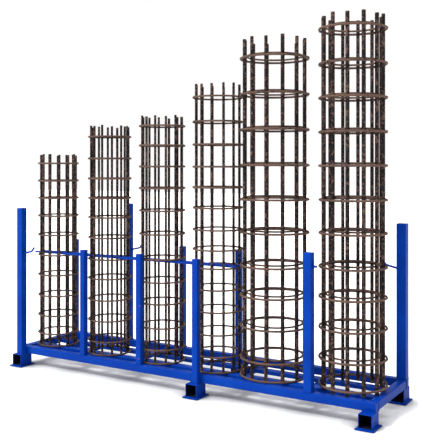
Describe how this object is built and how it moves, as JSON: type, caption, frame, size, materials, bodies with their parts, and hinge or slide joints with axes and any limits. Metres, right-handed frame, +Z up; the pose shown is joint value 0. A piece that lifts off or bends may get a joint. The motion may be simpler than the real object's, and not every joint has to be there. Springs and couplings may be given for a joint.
{
  "type": "rack of rebar column cages",
  "caption": "Welded steel storage rack holding round reinforcement cages of vertical bars and hoops, standing on end in rising height.",
  "frame": {"origin": "centre of the bounding box's footprint, on the floor", "axes": "+X along the rack towards the tallest cages, +Y from the loading side to the back, +Z up"},
  "size_m": [2.725, 0.705, 2.326],
  "materials": {
    "painted_steel": "semi-gloss blue paint, scuffed at the edges",
    "rusty_rebar": "hot-rolled steel with mill scale and light brown rust"
  },
  "bodies": {
    "root": {"cage_1_bars": "rusty_rebar", "cage_1_hoops": "rusty_rebar", "cage_2_bars": "rusty_rebar", "cage_2_hoops": "rusty_rebar", "cage_3_bars": "rusty_rebar", "cage_3_hoops": "rusty_rebar", "cage_4_bars": "rusty_rebar", "cage_4_hoops": "rusty_rebar", "cage_5_bars": "rusty_rebar", "cage_5_hoops": "rusty_rebar", "cage_5_inner_hoops": "rusty_rebar", "cage_6_bars": "rusty_rebar", "cage_6_hoops": "rusty_rebar", "cage_6_inner_hoops": "rusty_rebar", "cross_member_1": "painted_steel", "cross_member_2": "painted_steel", "cross_member_4": "painted_steel", "cross_member_5": "painted_steel", "front_bearer": "painted_steel", "front_peg": "painted_steel", "front_post_2": "painted_steel", "front_post_3": "painted_steel", "front_post_4": "painted_steel", "front_post_5": "painted_steel", "front_rail": "painted_steel", "front_rod": "painted_steel", "left_end_rail": "painted_steel", "left_front_base_plate": "painted_steel", "left_front_foot": "painted_steel", "left_front_hook": "painted_steel", "left_front_post": "painted_steel", "left_rear_base_plate": "painted_steel", "left_rear_foot": "painted_steel", "middle_front_base_plate": "painted_steel", "middle_front_foot": "painted_steel", "middle_rear_base_plate": "painted_steel", "middle_rear_foot": "painted_steel", "rear_bearer": "painted_steel", "rear_hook": "painted_steel", "rear_post_1": "painted_steel", "rear_post_2": "painted_steel", "rear_post_3": "painted_steel", "rear_post_4": "painted_steel", "rear_rail": "painted_steel", "rear_rod": "painted_steel", "right_end_rail": "painted_steel", "right_front_base_plate": "painted_steel", "right_front_foot": "painted_steel", "right_rear_base_plate": "painted_steel", "right_rear_foot": "painted_steel", "right_rear_hook": "painted_steel", "right_rear_post": "painted_steel"}
  },
  "joints": []
}
